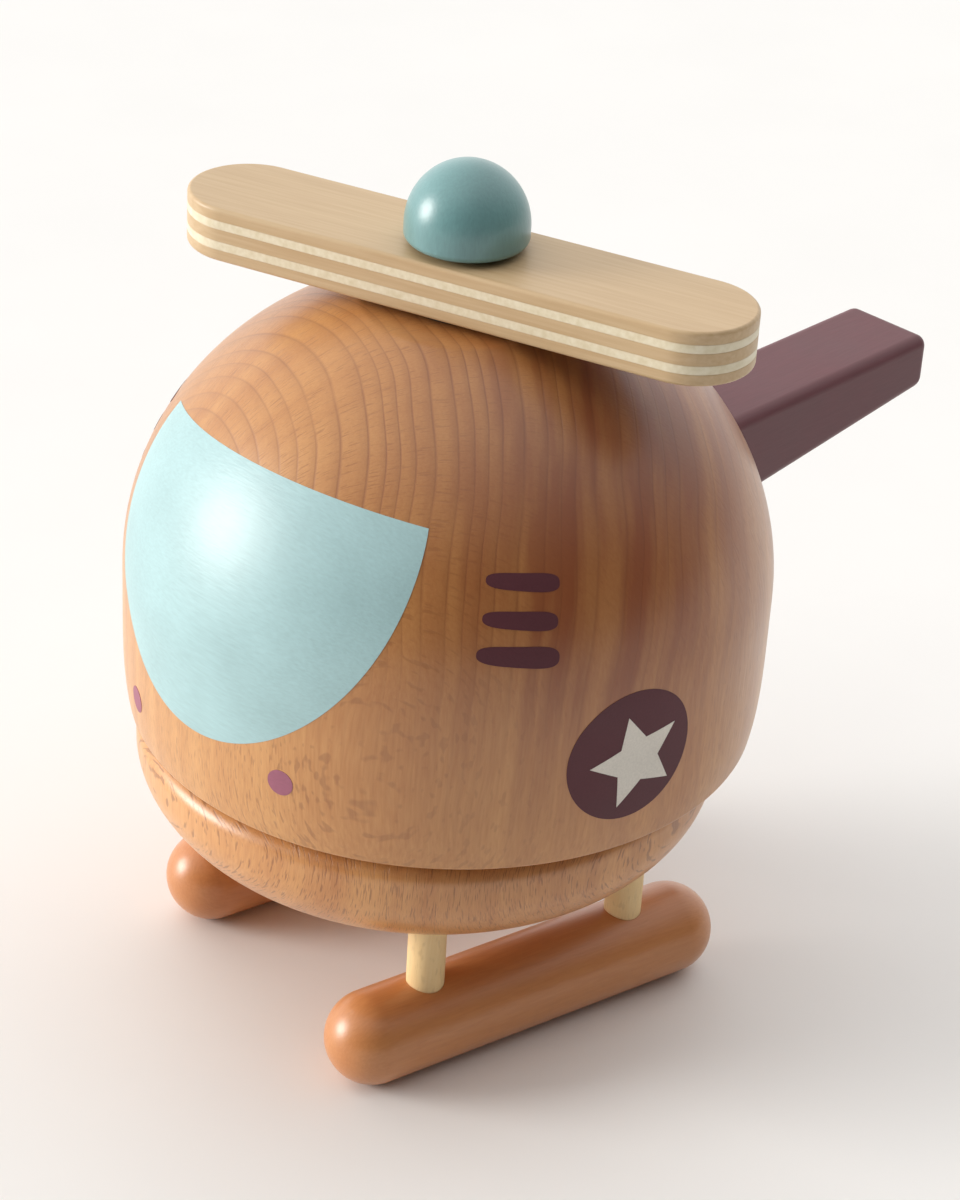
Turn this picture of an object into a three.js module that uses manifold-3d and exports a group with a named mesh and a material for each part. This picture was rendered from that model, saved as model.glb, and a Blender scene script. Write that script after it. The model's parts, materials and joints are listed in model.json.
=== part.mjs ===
// A turned wooden toy helicopter with a wind-up music movement in its cabin.
// The cabin turns on a bowl-shaped base that stands on two skids, and a plywood rotor spins on top.
// Millimetres, +Z up, nose towards -Y. The origin is the bottom centre of the whole toy's box.
import * as THREE from "three";
import { mergeVertices } from "three/addons/utils/BufferGeometryUtils.js";
import Module from "manifold-3d";

const wasm = await Module();
wasm.setup();

// ---------- Driving dimensions ----------
const GAP = 0.3; // between pieces that are glued, pressed or screwed together
const RUN = 0.1; // between faces that slide on each other
const ROUND = 48; // facets round a large turned piece
const SMALL_ROUND = 20; // facets round a dowel
const TINY_ROUND = 10; // facets round a screw or pin

const CABIN_YAW = THREE.MathUtils.degToRad(11.5); // the cabin's stored turn on its base
const ROTOR_YAW = THREE.MathUtils.degToRad(28.8); // the rotor's stored turn, from +X

const CABIN_R = 50;
const CABIN_WAIST_Z = 72;
const CABIN_DOME = 46; // height of the whole dome above the waist
const CABIN_SKIRT = 44; // and of the fuller curve below it
const CABIN_SKIRT_POWER = 5;
const CABIN_TOP_Z = 116;
const CABIN_BOTTOM_Z = 48.5;
const CAVITY_R = 38.5;
const CAVITY_WALL_TOP_Z = 76;
const CAVITY_TOP_Z = 84;
const CAVITY_TOP_R = 30;

const DISC_R = 45.2;
const DISC_BOTTOM_Z = 48.9;
const DISC_TOP_Z = 53.9;
const DISC_SCREW_CIRCLE = 42;

const BASE_R = 46;
const BASE_WIDEST_Z = 41.2;
const BASE_DEPTH = 21.9;
const BASE_BOTTOM_Z = 20.5;
const BASE_TOP_Z = 46;
const BASE_RIM_ROUND = 3;
const BASE_OFFSET = [-1.1, -1.6]; // the bowl's outside from its bore, along X and Y

const DOWEL_R = 3;
const SKID_R = 7.5;
const SKID_SPREAD = 24.8; // each skid's centre line from the middle
const SKID_HALF = 28.4; // from its middle to the centre of each round end
const SKID_SHIFT = 1.5; // the skids sit a little towards the tail
const SKID_FLAT = 4; // width of the sanded flat that it stands on
const LEG_REACH = 19; // each leg from the middle of its skid
const LEG_BOTTOM_Z = 5.3;
const LEG_TOP_Z = 35.7;

const TAIL_WIDTH = 17;
const TAIL_TOP_Z = 80.2;
const TAIL_TIP_HEIGHT = 9.7;
const TAIL_TAPER = 0.12; // the underside's fall, per millimetre towards the cabin
const TAIL_REACH = 109; // from the cabin's axis to the tip
const TAIL_SEAT = 45.5; // and to the end that is let into the cabin
const TAIL_ROUND = 2; // rounding of its long edges
const TAIL_TIP_ROUND = 2.7; // and of the edges across its tip
const TAIL_DOWEL_R = 4;
const TAIL_DOWEL = [39.4, 61];
const TAIL_DOWEL_Z = 72;

const ROTOR_LENGTH = 91.8;
const ROTOR_WIDTH = 19.2;
const ROTOR_BOTTOM_Z = 117;
const ROTOR_THICK = 8.5;
const ROTOR_ARRIS = 0.6;
const AXLE_R = 4;
const AXLE_Z = [97, 132.6];
const HUB_R = 9.3;
const HUB_BOTTOM_Z = 126.3;
const HUB_WALL_Z = [127.4, 128.8];
const HUB_TOP_Z = 138.4;

const SPINDLE_R = 2.5;
const SPINDLE_Z = [25, 73.6];
const NUT_R = 4.6; // across the corners
const BUSH_R = 4.2;
const COUNTERBORE = 9;
const BASE_PLUG_Z = [20.6, 24];
const LOCK_NUT_Z = [25.4, 29.4];
const WASHER_R = 6.5;
const WASHER_Z = [29.6, 30.8];
const WASHER_SEAT_Z = 31;
const JAM_NUT_Z = [43.5, 47.7];
const JAM_NUT_SEAT_Z = 43.2;
const GLIDE_R = [8, 14];
const RATCHET_R = [4.9, 6];
const RATCHET_TEETH = 12;
const RATCHET_Z = [71.1, 72.3];
const CLIP_Z = [72.5, 73.3];

const PLATE_Z = [54.2, 56.8]; // the movement's cast bedplate
const ARBOR_Z = 64.4; // height of the music cylinder's and the governor's arbors
const ARBOR_R = 1;
const CROWN_TEETH = 24;
const PINION_TEETH = 8;
const CROWN_MODULE = 1;
const CROWN_FACE = [10.8, 13.2];
const CROWN_PLATE_Z = [69.4, 70.8];
const CROWN_TIP_Z = 67.5;
const BARREL_R = 10;
const BARREL_Z = [57.1, 67.1];
const CYLINDER_R = 6;
const CYLINDER_X = [15.2, 30.8];
const PIN_HEIGHT = 0.45;
const COMB_TINES = 18;
const COMB_TIP_Y = -6.9;
const COMB_BACK_Y = -21.2;
const COMB_THICK = 0.8;
const COMB_Z = ARBOR_Z - COMB_THICK / 2;
const COMB_SCREWS = [[18, -18.6], [28, -18.6]];
const LEDGE_X = [15, 31];
const TINE_PITCH = (LEDGE_X[1] - LEDGE_X[0] - 2 * GAP) / COMB_TINES;
const WORM_TEETH = 30;
const WORM_MODULE = 0.4;
const WORM_WHEEL_X = -17;
const WORM_WHEEL_R = (WORM_TEETH * WORM_MODULE) / 2;
const WORM_R = 1.4;
const WORM_SHAFT_R = 0.6;
const WORM_Y = WORM_WHEEL_R + WORM_R + 0.1;
const PIVOT_R = 0.9; // holes that the worm's shaft turns in
const AIR_BRAKE_Z = [71.4, 74.2];
const BRACKET_ARM_Z = [75.2, 76.8];
const BRACKET_SCREW = [WORM_WHEEL_X + 9, WORM_Y + 7.2];
const MOVEMENT_SCREWS = [[-12.6, 15.6], [-12.6, -15.6], [33.4, 0]];
const POSTS_X = [[13.6, 14.6], [31.4, 32.6], [-14.8, -13.8], [-20.4, -19.2]]; // they carry the arbors

// ---------- Geometry helpers ----------
function solid(geometry) {
  const bare = geometry.clone();
  bare.deleteAttribute("normal");
  bare.deleteAttribute("uv");
  const merged = mergeVertices(bare, 1e-4);
  return new wasm.Manifold(
    new wasm.Mesh({
      numProp: 3,
      vertProperties: merged.attributes.position.array,
      triVerts: new Uint32Array(merged.index.array),
    }),
  );
}

function geometryOf(body) {
  const mesh = body.getMesh();
  const geometry = new THREE.BufferGeometry();
  geometry.setAttribute("position", new THREE.BufferAttribute(mesh.vertProperties, 3));
  geometry.setIndex(new THREE.BufferAttribute(mesh.triVerts, 1));
  geometry.computeVertexNormals();
  return geometry;
}

function cut(geometry, ...tools) {
  return geometryOf(tools.reduce((body, tool) => body.subtract(solid(tool)), solid(geometry)));
}

function join(geometry, ...others) {
  return geometryOf(others.reduce((body, other) => body.add(solid(other)), solid(geometry)));
}

// Turns an [r, z] profile about Z. The profile runs from low to high on its outside.
function turned(profile, facets = SMALL_ROUND) {
  const points = profile.map(([r, z]) => new THREE.Vector2(r, z));
  return new THREE.LatheGeometry(points, facets).rotateX(Math.PI / 2);
}

// A ring of rectangular section.
function ring(inner, outer, low, high, facets = SMALL_ROUND) {
  return turned([[inner, low], [outer, low], [outer, high], [inner, high], [inner, low]], facets);
}

function rod(radius, low, high, facets = SMALL_ROUND) {
  return turned([[0, low], [radius, low], [radius, high], [0, high]], facets);
}

// A rod that lies along +X.
function rodAlongX(radius, from, to, facets = SMALL_ROUND) {
  return rod(radius, from, to, facets).rotateY(Math.PI / 2);
}

function box(x, y, z) {
  const geometry = new THREE.BoxGeometry(x[1] - x[0], y[1] - y[0], z[1] - z[0]);
  return geometry.translate((x[0] + x[1]) / 2, (y[0] + y[1]) / 2, (z[0] + z[1]) / 2);
}

function plate(shape, low, high, curveSegments = 6) {
  const settings = { depth: high - low, bevelEnabled: false, curveSegments };
  return new THREE.ExtrudeGeometry(shape, settings).translate(0, 0, low);
}

// Settings that round an extrusion's edges without making it larger.
const rounding = (size, segments) => ({
  bevelSize: size,
  bevelThickness: size,
  bevelOffset: -size,
  bevelSegments: segments,
});

function arcPoints(centreR, centreZ, radius, from, to, steps) {
  return Array.from({ length: steps + 1 }, (_, i) => {
    const angle = THREE.MathUtils.degToRad(from + ((to - from) * i) / steps);
    return [centreR + radius * Math.cos(angle), centreZ + radius * Math.sin(angle)];
  });
}

// A spur gear's outline: each tooth is a trapezoid on the pitch circle.
function gearShape(teeth, module, boreR, depth = 1) {
  const pitchR = (teeth * module) / 2;
  const points = [];
  for (let i = 0; i < teeth; i += 1) {
    for (const [side, share] of [[-1, 0.3], [-1, 0.11], [1, 0.11], [1, 0.3]]) {
      const radius = share < 0.2 ? pitchR + 0.85 * module * depth : pitchR - 1.05 * module * depth;
      const angle = ((i + side * share) * 2 * Math.PI) / teeth;
      points.push(new THREE.Vector2(radius * Math.cos(angle), radius * Math.sin(angle)));
    }
  }
  const shape = new THREE.Shape(points);
  shape.holes.push(new THREE.Path().absarc(0, 0, boreR, 0, 2 * Math.PI, true));
  return shape;
}

// ---------- Materials ----------
const finish = (color, roughness, metalness = 0) => ({ color, roughness, metalness });
const BEECH = finish(0xc08a5a, 0.42);
const BEECH_SKID = finish(0xa96a3c, 0.4);
const BIRCH = finish(0xdfc79c, 0.5);
const PLYWOOD = finish(0xc99b68, 0.45);
const TEAL_PAINT = finish(0x9cc6c6, 0.4);
const PURPLE_PAINT = finish(0x7a5560, 0.45);
const STEEL = finish(0xb4b6b8, 0.3, 1);
const BLUED_STEEL = finish(0x4a5568, 0.3, 1);
const BRASS = finish(0xc9a24a, 0.3, 1);
const ZINC = finish(0x9a9c9e, 0.5, 1);
const NYLON = finish(0xe8e6dc, 0.5);
const FELT = finish(0x4a4642, 0.95);

const helicopter = new THREE.Group();
const chassis = new THREE.Group(); // stands still on the skids
const cabin = new THREE.Group(); // turns on the chassis
cabin.rotation.z = CABIN_YAW;
helicopter.add(chassis, cabin);

function piece(group, name, geometry, looks) {
  const mesh = new THREE.Mesh(geometry, new THREE.MeshStandardMaterial(looks));
  mesh.name = name;
  group.add(mesh);
  return mesh;
}

// ---------- Chassis: base, legs and skids ----------
const LEG_SIDES = { left: 1, right: -1 };
const LEG_ENDS = { front: -1, rear: 1 };
const legPlaces = Object.entries(LEG_SIDES).flatMap(([side, sx]) =>
  Object.entries(LEG_ENDS).map(([end, sy]) => {
    return { side, end, x: sx * SKID_SPREAD, y: SKID_SHIFT + sy * LEG_REACH };
  }),
);

function baseRadius(z) {
  return BASE_R * Math.sqrt(1 - ((BASE_WIDEST_Z - z) / BASE_DEPTH) ** 2);
}

function makeBase() {
  const bowl = [[0, BASE_BOTTOM_Z]];
  for (let i = 0; i <= 6; i += 1) {
    const z = BASE_BOTTOM_Z + (BASE_WIDEST_Z - BASE_BOTTOM_Z) * (i / 6) ** 1.4;
    bowl.push([baseRadius(z), z]);
  }
  const rim = arcPoints(BASE_R - BASE_RIM_ROUND, BASE_TOP_Z - BASE_RIM_ROUND, BASE_RIM_ROUND, 0, 90, 3);
  const block = turned([...bowl, ...rim, [0, BASE_TOP_Z]], ROUND).translate(...BASE_OFFSET, 0);
  const bore = rod(SPINDLE_R + GAP, 20, 47, TINY_ROUND);
  const lowerRecess = rod(COUNTERBORE, 20, WASHER_SEAT_Z);
  const upperRecess = rod(NUT_R + 1.4, JAM_NUT_SEAT_Z, 47);
  const legHoles = legPlaces.map(({ x, y }) => rod(DOWEL_R + GAP, 20, LEG_TOP_Z + GAP).translate(x, y, 0));
  return cut(block, bore, lowerRecess, upperRecess, ...legHoles);
}
piece(chassis, "base_bowl", makeBase(), BEECH);

function makeSkid(side) {
  const axisZ = Math.sqrt(SKID_R ** 2 - (SKID_FLAT / 2) ** 2);
  const round = new THREE.CapsuleGeometry(SKID_R, 2 * SKID_HALF, 5, SMALL_ROUND);
  round.translate(side * SKID_SPREAD, SKID_SHIFT, axisZ);
  const floor = box([-60, 60], [-60, 60], [-10, 0]);
  const holes = legPlaces
    .filter(({ x }) => x * side > 0)
    .map(({ x, y }) => rod(DOWEL_R + GAP, LEG_BOTTOM_Z - GAP, 30).translate(x, y, 0));
  return cut(round, floor, ...holes);
}
for (const [side, sx] of Object.entries(LEG_SIDES)) {
  piece(chassis, `skid_${side}`, makeSkid(sx), BEECH_SKID);
}
for (const { side, end, x, y } of legPlaces) {
  piece(chassis, `leg_${end}_${side}`, rod(DOWEL_R, LEG_BOTTOM_Z, LEG_TOP_Z), BIRCH).position.set(x, y, 0);
}

// ---------- Chassis: the winding spindle and what is fixed to it ----------
const hexNut = (low, high) => cut(rod(NUT_R, low, high, 6), rod(SPINDLE_R + GAP, 0, 80, TINY_ROUND));
piece(chassis, "winding_spindle", rod(SPINDLE_R, ...SPINDLE_Z), STEEL);
piece(chassis, "spindle_lock_nut", hexNut(...LOCK_NUT_Z), STEEL);
piece(chassis, "spindle_washer", ring(SPINDLE_R + GAP, WASHER_R, ...WASHER_Z), STEEL);
piece(chassis, "spindle_jam_nut", hexNut(...JAM_NUT_Z), STEEL);
piece(chassis, "base_plug", rod(COUNTERBORE - GAP, ...BASE_PLUG_Z), BEECH);
piece(chassis, "glide_ring", ring(...GLIDE_R, BASE_TOP_Z + RUN, DISC_BOTTOM_Z - RUN, 24), NYLON);

// The crown wheel: a plate on the spindle whose teeth point down from a ring near its rim.
function crownWheel() {
  const [plateLow, plateHigh] = CROWN_PLATE_Z;
  const [inner, outer] = CROWN_FACE;
  const boreR = SPINDLE_R + GAP;
  const root = plateLow - 0.05;
  const stations = [[-0.31, root], [-0.12, CROWN_TIP_Z], [0.12, CROWN_TIP_Z], [0.31, root]];
  const points = [];
  for (let tooth = 0; tooth < CROWN_TEETH; tooth += 1) {
    for (const [share, z] of stations) {
      const angle = ((tooth + share) * 2 * Math.PI) / CROWN_TEETH;
      const underside = [[boreR, plateLow], [inner, plateLow], [inner, z]];
      const section = [...underside, [outer, z], [outer, plateHigh], [boreR, plateHigh]];
      points.push(section.map(([r, height]) => [r * Math.cos(angle), r * Math.sin(angle), height]));
    }
  }
  const corners = points[0].length;
  const index = [];
  for (let i = 0; i < points.length; i += 1) {
    const next = (i + 1) % points.length;
    for (let k = 0; k < corners; k += 1) {
      const a = i * corners + k;
      const b = i * corners + ((k + 1) % corners);
      const c = next * corners + k;
      const d = next * corners + ((k + 1) % corners);
      index.push(a, c, b, b, c, d);
    }
  }
  const geometry = new THREE.BufferGeometry();
  geometry.setAttribute("position", new THREE.Float32BufferAttribute(points.flat(2), 3));
  geometry.setIndex(index);
  geometry.computeVertexNormals();
  return geometry;
}
piece(chassis, "drive_wheel", crownWheel(), BRASS).rotation.z = CABIN_YAW;

// A ratchet wheel with one-sided teeth, and the pawl that rides on the drive wheel and clicks over them.
function ratchetShape() {
  const [rootR, tipR] = RATCHET_R;
  const points = [];
  for (let i = 0; i < RATCHET_TEETH; i += 1) {
    const tip = (i * 2 * Math.PI) / RATCHET_TEETH;
    const root = tip + 0.06;
    points.push(new THREE.Vector2(tipR * Math.cos(tip), tipR * Math.sin(tip)));
    points.push(new THREE.Vector2(rootR * Math.cos(root), rootR * Math.sin(root)));
  }
  const shape = new THREE.Shape(points);
  shape.holes.push(new THREE.Path().absarc(0, 0, SPINDLE_R + GAP, 0, 2 * Math.PI, true));
  return shape;
}
const PAWL = [[6.3, -0.3], [7.4, -0.9], [9.8, 3.6], [9.2, 5.2], [7.6, 5.2], [7.2, 3.4]];
const pawlShape = new THREE.Shape(PAWL.map(([x, y]) => new THREE.Vector2(x, y)));
piece(chassis, "ratchet_wheel", plate(ratchetShape(), ...RATCHET_Z), STEEL);
piece(chassis, "click_pawl", plate(pawlShape, RATCHET_Z[0], RATCHET_Z[1] - 0.2), BLUED_STEEL);
piece(chassis, "spindle_clip", ring(SPINDLE_R + GAP, 4, ...CLIP_Z, TINY_ROUND), BLUED_STEEL);

// ---------- Cabin: turned shell, closing disc and tail ----------
function tailShape(grow) {
  const [top, tip, seat] = [TAIL_TOP_Z + grow, TAIL_REACH + grow, TAIL_SEAT - grow];
  const under = (y) => TAIL_TOP_Z - TAIL_TIP_HEIGHT - TAIL_TAPER * (TAIL_REACH - y) - grow;
  const r = TAIL_TIP_ROUND;
  const shape = new THREE.Shape();
  shape.moveTo(seat, top);
  shape.lineTo(seat, under(seat));
  shape.lineTo(tip - r, under(tip - r));
  shape.quadraticCurveTo(tip, under(tip), tip, under(tip) + r);
  shape.lineTo(tip, top - r);
  shape.quadraticCurveTo(tip, top, tip - r, top);
  shape.closePath();
  return shape;
}

function tailBar(grow) {
  const width = TAIL_WIDTH + 2 * grow;
  const settings = { depth: width - 2 * TAIL_ROUND, curveSegments: 3, ...rounding(TAIL_ROUND, 3) };
  const bar = new THREE.ExtrudeGeometry(tailShape(grow), settings);
  bar.translate(0, 0, TAIL_ROUND - width / 2);
  // The outline's own x and y become the toy's Y and Z.
  const upright = new THREE.Matrix4().set(0, 0, 1, 0, 1, 0, 0, 0, 0, 1, 0, 0, 0, 0, 0, 1);
  return bar.applyMatrix4(upright);
}
const rodAlongY = (radius, from, to, facets) => rod(radius, from, to, facets).rotateX(-Math.PI / 2);
function tailHole() {
  const [from, to] = TAIL_DOWEL;
  return rodAlongY(TAIL_DOWEL_R + GAP, from - GAP, to + GAP).translate(0, 0, TAIL_DOWEL_Z);
}

const discScrews = [45, 135, 225, 315].map((degrees) => {
  const angle = THREE.MathUtils.degToRad(degrees);
  return { x: DISC_SCREW_CIRCLE * Math.cos(angle), y: DISC_SCREW_CIRCLE * Math.sin(angle) };
});

// A countersunk wood screw that points up, with its slotted head at the given height.
function woodScrew(headZ, length, grow = 0) {
  const profile = [
    [0, headZ],
    [2.9 + grow, headZ],
    [1.4 + grow, headZ + 1.8],
    [1.4 + grow, headZ + length - 2.4],
    [0, headZ + length + grow],
  ];
  const blank = turned(profile, TINY_ROUND);
  return grow > 0 ? blank : cut(blank, box([-4, 4], [-0.35, 0.35], [headZ - 1, headZ + 0.8]));
}
const discScrew = (grow) => woodScrew(DISC_BOTTOM_Z + 0.2 - grow, 14, grow);

function cabinRadius(z) {
  const below = CABIN_WAIST_Z - z;
  if (below > 0) return CABIN_R * Math.sqrt(1 - (below / CABIN_SKIRT) ** CABIN_SKIRT_POWER);
  return CABIN_R * Math.sqrt(1 - (below / CABIN_DOME) ** 2);
}

function makeCabinShell() {
  const rebateR = DISC_R + GAP;
  const inside = [
    [0, CAVITY_TOP_Z],
    [CAVITY_TOP_R, CAVITY_TOP_Z],
    [CAVITY_R, CAVITY_WALL_TOP_Z],
    [CAVITY_R, DISC_TOP_Z + GAP],
    [rebateR, DISC_TOP_Z + GAP],
    [rebateR, CABIN_BOTTOM_Z],
    [cabinRadius(CABIN_BOTTOM_Z) - 0.8, CABIN_BOTTOM_Z],
  ];
  const skirt = [0.8, 5, 12].map((up) => [cabinRadius(CABIN_BOTTOM_Z + up), CABIN_BOTTOM_Z + up]);
  const topAngle = Math.asin((CABIN_TOP_Z - CABIN_WAIST_Z) / CABIN_DOME);
  const dome = Array.from({ length: 10 }, (_, i) => {
    const z = CABIN_WAIST_Z + CABIN_DOME * Math.sin((topAngle * i) / 9);
    return [cabinRadius(z), z];
  });
  const block = turned([...inside, ...skirt, ...dome, [0, CABIN_TOP_Z]], ROUND);
  const axleHole = rod(AXLE_R + GAP, AXLE_Z[0] - GAP, 120);
  const pilotHoles = discScrews.map(({ x, y }) => discScrew(GAP).translate(x, y, 0));
  return cut(block, axleHole, tailBar(GAP), tailHole(), ...pilotHoles);
}
piece(cabin, "cabin_shell", makeCabinShell(), BEECH);

// A cheese-head screw that comes up through the closing disc into the bedplate.
function machineScrew(grow) {
  const headLow = DISC_BOTTOM_Z + 0.2 - grow;
  const headHigh = headLow + 1.8 + 2 * grow;
  const tipZ = PLATE_Z[1] - 0.4 + grow;
  const profile = [[0, headLow], [2.6 + grow, headLow], [2.6 + grow, headHigh]];
  profile.push([1.2 + grow, headHigh], [1.2 + grow, tipZ], [0, tipZ]);
  const blank = turned(profile, TINY_ROUND);
  return grow > 0 ? blank : cut(blank, box([-4, 4], [-0.3, 0.3], [headLow - 1, headLow + 0.7]));
}

function makeClosingDisc() {
  const block = rod(DISC_R, DISC_BOTTOM_Z, DISC_TOP_Z, 36);
  const middle = rod(BUSH_R + 1.8, 40, 60);
  const shellHoles = discScrews.map(({ x, y }) => discScrew(GAP).translate(x, y, 0));
  const plateHoles = MOVEMENT_SCREWS.map(([x, y]) => machineScrew(GAP).translate(x, y, 0));
  return cut(block, middle, ...shellHoles, ...plateHoles);
}
piece(cabin, "closing_disc", makeClosingDisc(), PLYWOOD);
discScrews.forEach(({ x, y }, i) => {
  piece(cabin, `disc_screw_${i + 1}`, discScrew(0), STEEL).position.set(x, y, 0);
});
MOVEMENT_SCREWS.forEach(([x, y], i) => {
  piece(cabin, `movement_screw_${i + 1}`, machineScrew(0), STEEL).position.set(x, y, 0);
});

piece(cabin, "tail_boom", cut(tailBar(0), tailHole()), PURPLE_PAINT);
piece(cabin, "tail_dowel", rodAlongY(TAIL_DOWEL_R, ...TAIL_DOWEL), BIRCH).position.z = TAIL_DOWEL_Z;

// ---------- Cabin: rotor, its axle and the hub cap ----------
function makeRotor() {
  const reach = ROTOR_LENGTH / 2 - ROTOR_WIDTH / 2;
  const half = ROTOR_WIDTH / 2;
  const outline = new THREE.Shape();
  outline.absarc(reach, 0, half, -Math.PI / 2, Math.PI / 2, false);
  outline.absarc(-reach, 0, half, Math.PI / 2, (3 * Math.PI) / 2, false);
  outline.closePath();
  const settings = { depth: ROTOR_THICK - 2 * ROTOR_ARRIS, curveSegments: 10, ...rounding(ROTOR_ARRIS, 1) };
  const blade = new THREE.ExtrudeGeometry(outline, settings).translate(0, 0, ROTOR_BOTTOM_Z + ROTOR_ARRIS);
  return cut(blade, rod(AXLE_R + 0.5, 110, 130));
}
piece(helicopter, "rotor_blade", makeRotor(), PLYWOOD).rotation.z = ROTOR_YAW;
piece(cabin, "rotor_axle", rod(AXLE_R, ...AXLE_Z), BIRCH);
piece(cabin, "rotor_washer_lower", ring(AXLE_R + GAP, 8, CABIN_TOP_Z + RUN, ROTOR_BOTTOM_Z - RUN), FELT);
piece(
  cabin,
  "rotor_washer_upper",
  ring(AXLE_R + GAP, 7, ROTOR_BOTTOM_Z + ROTOR_THICK + RUN, HUB_BOTTOM_Z - RUN),
  FELT,
);

function makeHubCap() {
  const lip = HUB_WALL_Z[0] - HUB_BOTTOM_Z;
  const dome = Array.from({ length: 6 }, (_, i) => {
    const angle = (Math.PI / 2) * (i / 6);
    return [HUB_R * Math.cos(angle), HUB_WALL_Z[1] + (HUB_TOP_Z - HUB_WALL_Z[1]) * Math.sin(angle)];
  });
  const edge = arcPoints(HUB_R - lip, HUB_WALL_Z[0], lip, -90, 0, 2);
  const cap = turned([[0, HUB_BOTTOM_Z], ...edge, ...dome, [0, HUB_TOP_Z]], 24);
  return cut(cap, rod(AXLE_R + GAP, 120, AXLE_Z[1] + GAP));
}
piece(cabin, "hub_cap", makeHubCap(), TEAL_PAINT);

// ---------- Movement: bedplate, spring and comb ----------

function makeBedplate() {
  const frontCorners = [[-25, -9], [-14, -18], [13, -21.5], [31, -21.5], [35.8, -8]];
  const rearCorners = [[35.8, 8], [28, 16], [-14, 18], [-25, 11]];
  const corners = [...frontCorners, ...rearCorners];
  const outline = new THREE.Shape(corners.map(([x, y]) => new THREE.Vector2(x, y)));
  const sheet = plate(outline, ...PLATE_Z);
  const footZ = PLATE_Z[1] - 0.5; // posts are rooted in the sheet
  const posts = POSTS_X.map((x) => box(x, [-2.6, 2.6], [footZ, ARBOR_Z + 2.4]));
  const ledge = box(LEDGE_X, [COMB_BACK_Y, -16], [footZ, COMB_Z - 0.1]);
  const joined = join(sheet, ...posts, ledge);
  const bearings = rodAlongX(ARBOR_R + GAP, -40, 40, TINY_ROUND).translate(0, 0, ARBOR_Z);
  const bushHole = rod(BUSH_R + GAP, 50, 60);
  const wormSeat = rod(PIVOT_R, 50, 60, TINY_ROUND).translate(WORM_WHEEL_X, WORM_Y, 0);
  const screwHoles = MOVEMENT_SCREWS.map(([x, y]) => rod(1.5, 50, 60, TINY_ROUND).translate(x, y, 0));
  const bracketHole = rod(1.5, 50, 60, TINY_ROUND).translate(...BRACKET_SCREW, 0);
  const combHoles = COMB_SCREWS.map(([x, y]) => rod(1.3, COMB_Z - 4.5, 66, TINY_ROUND).translate(x, y, 0));
  return cut(joined, bearings, bushHole, wormSeat, bracketHole, ...screwHoles, ...combHoles);
}
piece(cabin, "bedplate", makeBedplate(), ZINC);
piece(cabin, "spindle_bush", ring(SPINDLE_R + RUN, BUSH_R, PLATE_Z[0], PLATE_Z[1]), BRASS);

const barrelProfile = [
  [SPINDLE_R + 0.7, BARREL_Z[0]],
  [BARREL_R, BARREL_Z[0]],
  [BARREL_R, BARREL_Z[1]],
  [BARREL_R - 0.8, BARREL_Z[1]],
  [BARREL_R - 0.8, BARREL_Z[0] + 0.9],
  [SPINDLE_R + 0.7, BARREL_Z[0] + 0.9],
  [SPINDLE_R + 0.7, BARREL_Z[0]],
];
piece(cabin, "spring_barrel", turned(barrelProfile, 24), STEEL);

// The mainspring: a flat spiral of steel strip.
function makeMainspring() {
  const turns = 5;
  const steps = turns * 12;
  const innerR = SPINDLE_R + 0.9;
  const pitch = (BARREL_R - 1.4 - innerR) / turns;
  const edge = (offset) =>
    Array.from({ length: steps + 1 }, (_, i) => {
      const angle = (i / steps) * turns * 2 * Math.PI;
      const radius = innerR + pitch * (i / steps) * turns + offset;
      return new THREE.Vector2(radius * Math.cos(angle), radius * Math.sin(angle));
    });
  const strip = new THREE.Shape([...edge(0.35), ...edge(0).reverse()]);
  return plate(strip, BARREL_Z[0] + 1.3, BARREL_Z[1] - 0.5);
}
piece(cabin, "mainspring", makeMainspring(), BLUED_STEEL);

function makeComb() {
  const slot = 0.3;
  const points = [];
  for (let i = 0; i < COMB_TINES; i += 1) {
    const left = LEDGE_X[0] + GAP + i * TINE_PITCH;
    const right = left + TINE_PITCH - slot;
    const rootY = -15.6 + (5 * i) / COMB_TINES; // treble tines are shorter
    points.push([left, rootY], [left, COMB_TIP_Y], [right, COMB_TIP_Y], [right, rootY]);
  }
  points.push([LEDGE_X[1] - GAP, COMB_BACK_Y], [LEDGE_X[0] + GAP, COMB_BACK_Y]);
  const outline = new THREE.Shape(points.map(([x, y]) => new THREE.Vector2(x, y)));
  const holes = COMB_SCREWS.map(([x, y]) => rod(1.3, 60, 70, TINY_ROUND).translate(x, y, 0));
  return cut(plate(outline, COMB_Z, COMB_Z + COMB_THICK), ...holes);
}
piece(cabin, "comb", makeComb(), STEEL);
function panScrew(headLow, length) {
  const profile = [[0, headLow - length], [1, headLow - length], [1, headLow], [2, headLow]];
  profile.push([2, headLow + 0.8], [1.4, headLow + 1.3], [0, headLow + 1.3]);
  return cut(turned(profile, TINY_ROUND), box([-3, 3], [-0.25, 0.25], [headLow + 0.7, headLow + 3]));
}
COMB_SCREWS.forEach(([x, y], i) => {
  const screw = panScrew(COMB_Z + COMB_THICK + 0.1, 4.4);
  piece(cabin, `comb_screw_${i + 1}`, screw, STEEL).position.set(x, y, 0);
});

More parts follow.
